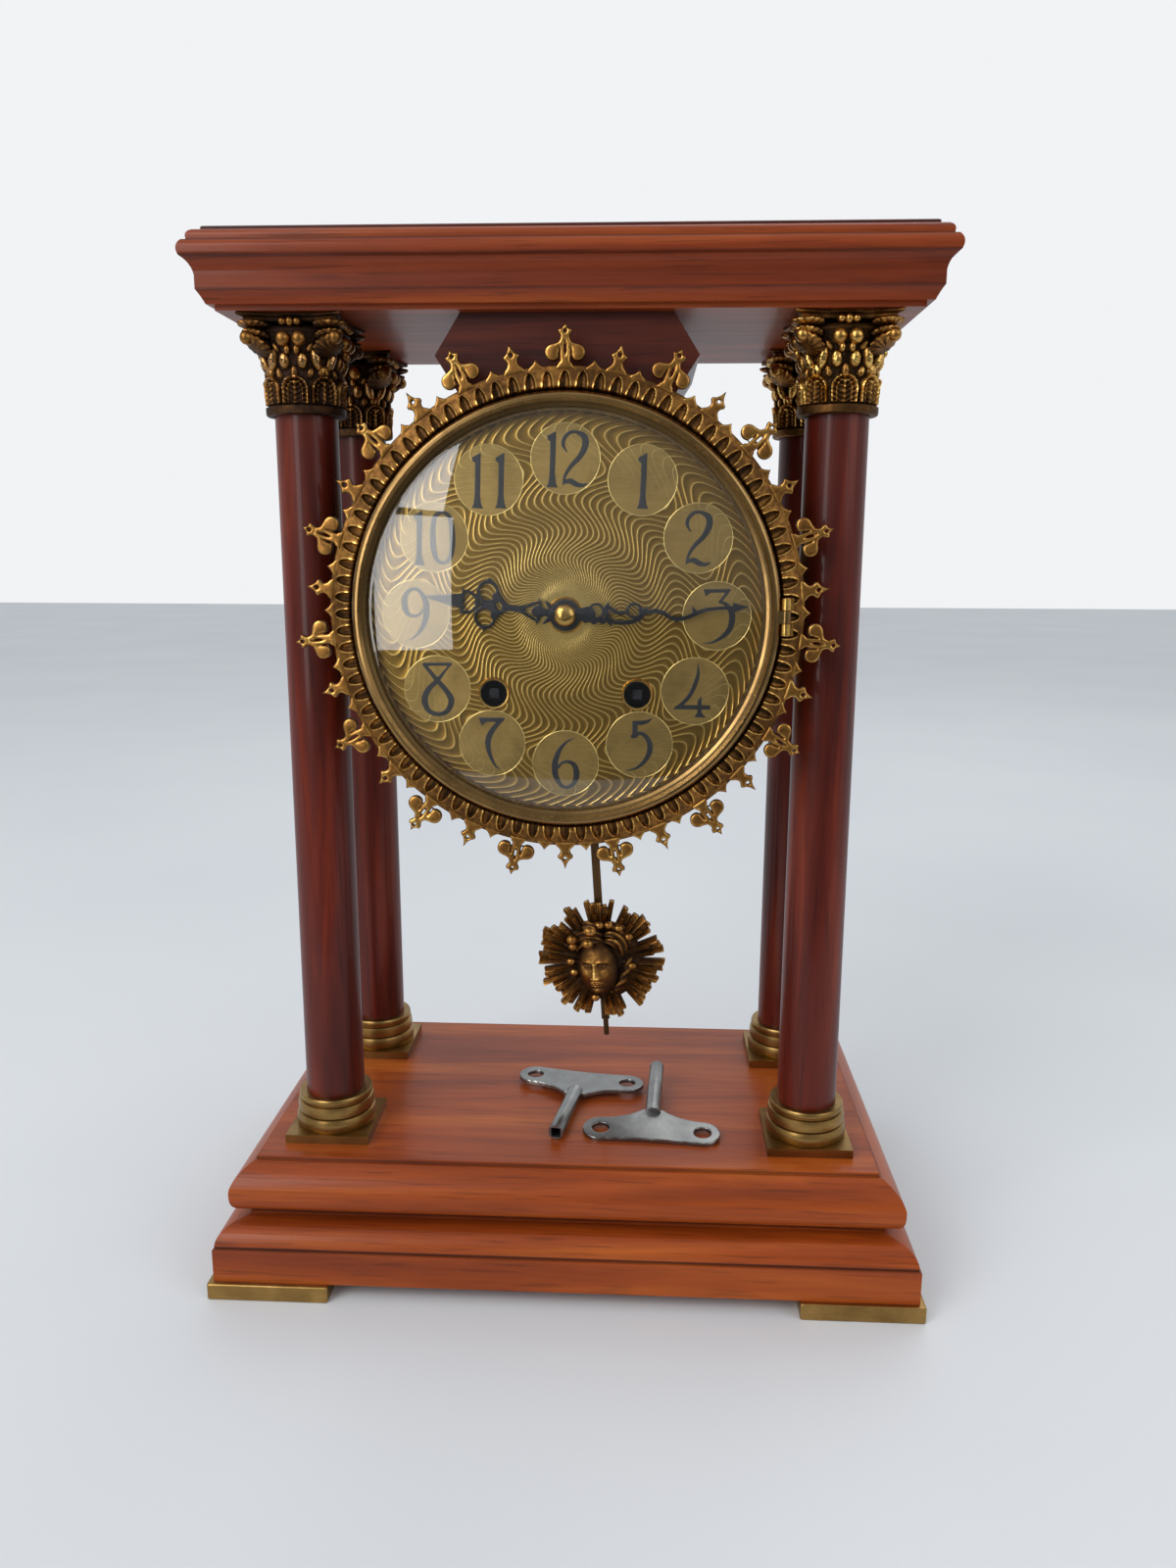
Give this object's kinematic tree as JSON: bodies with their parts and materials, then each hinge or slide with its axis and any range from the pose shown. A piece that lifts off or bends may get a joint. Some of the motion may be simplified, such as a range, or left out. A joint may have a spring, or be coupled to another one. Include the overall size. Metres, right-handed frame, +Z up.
{
  "type": "table clock",
  "caption": "Portico table clock with moulded wooden base and cornice on columns, fluted brass drum dial, geared movement, pendulum and winding keys.",
  "frame": {"origin": "centre of the footprint on the surface the feet stand on", "axes": "+X to the right seen from the front, +Y to the back, +Z up"},
  "size_m": [0.2874, 0.1722, 0.409],
  "materials": {
    "orange_mahogany": "satin lacquer over straight-grained reddish-orange wood",
    "red_mahogany": "satin lacquer over deep red wood, grain along the shaft",
    "dark_mahogany": "satin lacquer over dark maroon wood",
    "dull_brass": "plain brass dulled by age",
    "aged_brass": "cast brass with dark patina in the hollows and worn bright tops",
    "bright_brass": "polished brass, slightly worn",
    "dial_brass": "engraved and brushed brass with black printed hour numbers",
    "movement_brass": "fine brushed brass of the movement",
    "steel": "fine brushed steel",
    "key_steel": "nickel-plated steel, scuffed",
    "black_steel": "blackened steel",
    "glass": "clear domed glass"
  },
  "bodies": {
    "case": {"foot_front_left": "dull_brass", "foot_front_right": "dull_brass", "foot_rear_left": "dull_brass", "foot_rear_right": "dull_brass", "base_plinth": "orange_mahogany", "base_slab": "orange_mahogany", "column_base_front_left": "dull_brass", "column_base_front_right": "dull_brass", "column_base_rear_left": "dull_brass", "column_base_rear_right": "dull_brass", "column_shaft_front_left": "red_mahogany", "column_shaft_front_right": "red_mahogany", "column_shaft_rear_left": "red_mahogany", "column_shaft_rear_right": "red_mahogany", "capital_front_left": "aged_brass", "capital_front_right": "aged_brass", "capital_rear_left": "aged_brass", "capital_rear_right": "aged_brass", "tie_rods": "steel", "cornice": "orange_mahogany", "cornice_top_board": "dark_mahogany", "hanger_block": "dark_mahogany", "case_screws": "steel", "movement_drum": "dull_brass", "hinge_pins": "bright_brass", "bezel_surround": "aged_brass", "dial_plate": "dial_brass", "winding_hole_rims": "bright_brass", "front_plate": "movement_brass", "rear_plate": "movement_brass", "back_cock": "movement_brass", "bell": "dull_brass"},
    "hands": {"centre_wheel": "movement_brass", "cannon_pinion": "steel", "minute_hand": "black_steel", "hand_nut": "bright_brass"},
    "hour": {"hour_wheel": "movement_brass", "hour_hand": "black_steel"},
    "minute_wheel_body": {"minute_wheel": "movement_brass"},
    "second_wheel_body": {"second_wheel": "movement_brass"},
    "going_barrel_body": {"going_barrel": "movement_brass"},
    "third_wheel_body": {"third_wheel": "movement_brass"},
    "escape_wheel_body": {"escape_wheel": "movement_brass"},
    "strike_barrel_body": {"strike_barrel": "movement_brass"},
    "pin_wheel_body": {"pin_wheel": "movement_brass"},
    "fly_body": {"strike_fly": "movement_brass"},
    "pendulum": {"suspension_spring": "steel", "pendulum_rod": "dull_brass", "pendulum_bob": "aged_brass"},
    "anchor": {"pallet_anchor": "steel"},
    "going_arbor": {"going_winding_arbor": "steel"},
    "strike_arbor": {"strike_winding_arbor": "steel"},
    "going_click_body": {"going_click": "steel"},
    "strike_click_body": {"strike_click": "steel"},
    "hammer_body": {"hammer": "steel"},
    "bezel_door": {"bezel_ring": "bright_brass", "bezel_glass": "glass"},
    "back_door": {"rear_door": "dull_brass"},
    "right_key": {"key_right": "key_steel"},
    "left_key": {"key_left": "key_steel"}
  },
  "joints": [
    {"name": "hands_turn", "type": "hinge", "parent": "case", "child": "hands", "pos_m": [0, 0, 0.274], "axis": [0, 1, 0], "continuous": true},
    {"name": "hour_turn", "type": "hinge", "parent": "case", "child": "hour", "pos_m": [0, 0, 0.274], "axis": [0, 1, 0], "continuous": true},
    {"name": "minute_wheel_turn", "type": "hinge", "parent": "case", "child": "minute_wheel_body", "pos_m": [-0.01247, 0, 0.2812], "axis": [0, 1, 0], "continuous": true},
    {"name": "second_wheel_turn", "type": "hinge", "parent": "case", "child": "second_wheel_body", "pos_m": [0.00103, 0, 0.25303], "axis": [0, 1, 0], "continuous": true},
    {"name": "going_barrel_turn", "type": "hinge", "parent": "case", "child": "going_barrel_body", "pos_m": [0.027, 0, 0.2445], "axis": [0, 1, 0], "continuous": true},
    {"name": "third_wheel_turn", "type": "hinge", "parent": "case", "child": "third_wheel_body", "pos_m": [0.01436, 0, 0.28563], "axis": [0, 1, 0], "continuous": true},
    {"name": "escape_wheel_turn", "type": "hinge", "parent": "case", "child": "escape_wheel_body", "pos_m": [0, 0, 0.2935], "axis": [0, 1, 0], "continuous": true},
    {"name": "strike_barrel_turn", "type": "hinge", "parent": "case", "child": "strike_barrel_body", "pos_m": [-0.027, 0, 0.2445], "axis": [0, 1, 0], "continuous": true},
    {"name": "pin_wheel_turn", "type": "hinge", "parent": "case", "child": "pin_wheel_body", "pos_m": [-0.0208, 0, 0.27112], "axis": [0, 1, 0], "continuous": true},
    {"name": "strike_fly_turn", "type": "hinge", "parent": "case", "child": "fly_body", "pos_m": [-0.03678, 0, 0.27694], "axis": [0, 1, 0], "continuous": true},
    {"name": "pendulum_swing", "type": "hinge", "parent": "case", "child": "pendulum", "pos_m": [0, -0.004, 0.306], "axis": [0, 1, 0], "range_deg": [-0.2, 7.8]},
    {"name": "anchor_rock", "type": "hinge", "parent": "case", "child": "anchor", "pos_m": [0, -0.004, 0.306], "axis": [0, 1, 0], "range_deg": [-0.2, 7.8]},
    {"name": "going_arbor_wind", "type": "hinge", "parent": "case", "child": "going_arbor", "pos_m": [0.027, 0, 0.2445], "axis": [0, 1, 0], "continuous": true},
    {"name": "strike_arbor_wind", "type": "hinge", "parent": "case", "child": "strike_arbor", "pos_m": [-0.027, 0, 0.2445], "axis": [0, 1, 0], "continuous": true},
    {"name": "going_click_lift", "type": "hinge", "parent": "case", "child": "going_click_body", "pos_m": [0.0375, 0, 0.235], "axis": [0, 1, 0], "range_deg": [0, 10]},
    {"name": "strike_click_lift", "type": "hinge", "parent": "case", "child": "strike_click_body", "pos_m": [-0.0375, 0, 0.235], "axis": [0, -1, 0], "range_deg": [0, 10]},
    {"name": "hammer_lift", "type": "hinge", "parent": "case", "child": "hammer_body", "pos_m": [-0.0288, 0, 0.3019], "axis": [0, 1, 0], "range_deg": [0, 20]},
    {"name": "bezel_door_hinge", "type": "hinge", "parent": "case", "child": "bezel_door", "pos_m": [0.0806, -0.0676, 0.274], "axis": [0, 0, 1], "range_deg": [0, 110]},
    {"name": "rear_door_hinge", "type": "hinge", "parent": "case", "child": "back_door", "pos_m": [0.0726, 0.021, 0.274], "axis": [0, 0, -1], "range_deg": [0, 100]},
    {"name": "right_key_lift", "type": "slide", "parent": "case", "child": "right_key", "axis": [0.3333, -0.6667, 0.6667], "range_m": [0, 0.04]},
    {"name": "left_key_lift", "type": "slide", "parent": "case", "child": "left_key", "axis": [-0.3333, -0.6667, 0.6667], "range_m": [0, 0.04]}
  ],
  "couplings": [
    {"joint": "hour_turn", "follows": "hands_turn", "ratio": 0.083333},
    {"joint": "minute_wheel_turn", "follows": "hands_turn", "ratio": -0.33333},
    {"joint": "second_wheel_turn", "follows": "hands_turn", "ratio": -0.16667},
    {"joint": "going_barrel_turn", "follows": "hands_turn", "ratio": 0.023148},
    {"joint": "third_wheel_turn", "follows": "hands_turn", "ratio": -10},
    {"joint": "escape_wheel_turn", "follows": "hands_turn", "ratio": 120},
    {"joint": "pin_wheel_turn", "follows": "strike_barrel_turn", "ratio": -7.2},
    {"joint": "strike_fly_turn", "follows": "strike_barrel_turn", "ratio": 54},
    {"joint": "anchor_rock", "follows": "pendulum_swing", "ratio": 1}
  ]
}
